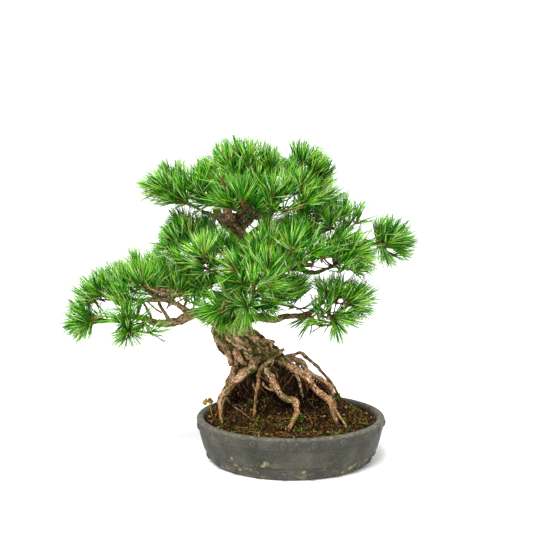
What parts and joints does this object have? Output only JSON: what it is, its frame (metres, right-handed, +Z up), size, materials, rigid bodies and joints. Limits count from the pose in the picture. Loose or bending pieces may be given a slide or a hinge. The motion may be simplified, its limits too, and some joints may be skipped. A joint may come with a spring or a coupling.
{
  "type": "potted japanese white pine bonsai",
  "caption": "Exposed-root bonsai pine in a shallow round drum pot: leaning twisted trunk, arching bare roots over heaped soil, and open tiers of needle tufts.",
  "frame": {"origin": "centre of the pot's flat underside", "axes": "+Z up, -Y the front that the roots and the trunk's bend face, +X to the right seen from the front; the low left boughs reach towards -X"},
  "size_m": [0.5754, 0.3097, 0.518],
  "materials": {
    "pot": "matte unglazed dark grey stoneware, weathered",
    "soil": "loose dark granular soil",
    "bark": "rough bark",
    "root_bark": "rough pale bark",
    "bough_bark": "rough grey-brown bark",
    "needles": "satin green needles"
  },
  "bodies": {
    "root": {"bough_back_left": "bough_bark", "bough_back_low": "bough_bark", "bough_back_right": "bough_bark", "bough_front_right": "bough_bark", "bough_left_back": "bough_bark", "bough_left_inner": "bough_bark", "bough_left_upper": "bough_bark", "bough_low_left": "bough_bark", "bough_low_left_fork": "bough_bark", "bough_low_left_rise": "bough_bark", "bough_low_right": "bough_bark", "bough_low_right_fork": "bough_bark", "bough_mid_left": "bough_bark", "bough_mid_right": "bough_bark", "bough_mid_right_rise": "bough_bark", "bough_right_shoulder": "bough_bark", "bough_shoulder": "bough_bark", "bough_top_left": "bough_bark", "bough_top_right": "bough_bark", "mass_back_left": "needles", "mass_back_low": "needles", "mass_back_right": "needles", "mass_front_low": "needles", "mass_front_right": "needles", "mass_left_back": "needles", "mass_left_end": "needles", "mass_left_front": "needles", "mass_left_high": "needles", "mass_left_inner": "needles", "mass_left_low": "needles", "mass_left_outer": "needles", "mass_left_upper": "needles", "mass_low_front": "needles", "mass_low_middle_right": "needles", "mass_right_far": "needles", "mass_right_low": "needles", "mass_right_lowest": "needles", "mass_right_middle": "needles", "mass_right_upper": "needles", "mass_shoulder": "needles", "mass_top_back": "needles", "mass_top_crown": "needles", "mass_top_front": "needles", "mass_top_front_right": "needles", "mass_top_left": "needles", "mass_top_left_inner": "needles", "mass_top_right": "needles", "pot": "pot", "root_back_left": "root_bark", "root_back_middle": "root_bark", "root_front_left": "root_bark", "root_front_middle": "root_bark", "root_front_right": "root_bark", "root_front_thin": "root_bark", "root_left": "root_bark", "root_right": "root_bark", "root_right_back": "root_bark", "soil": "soil", "trunk": "bark"}
  },
  "joints": []
}
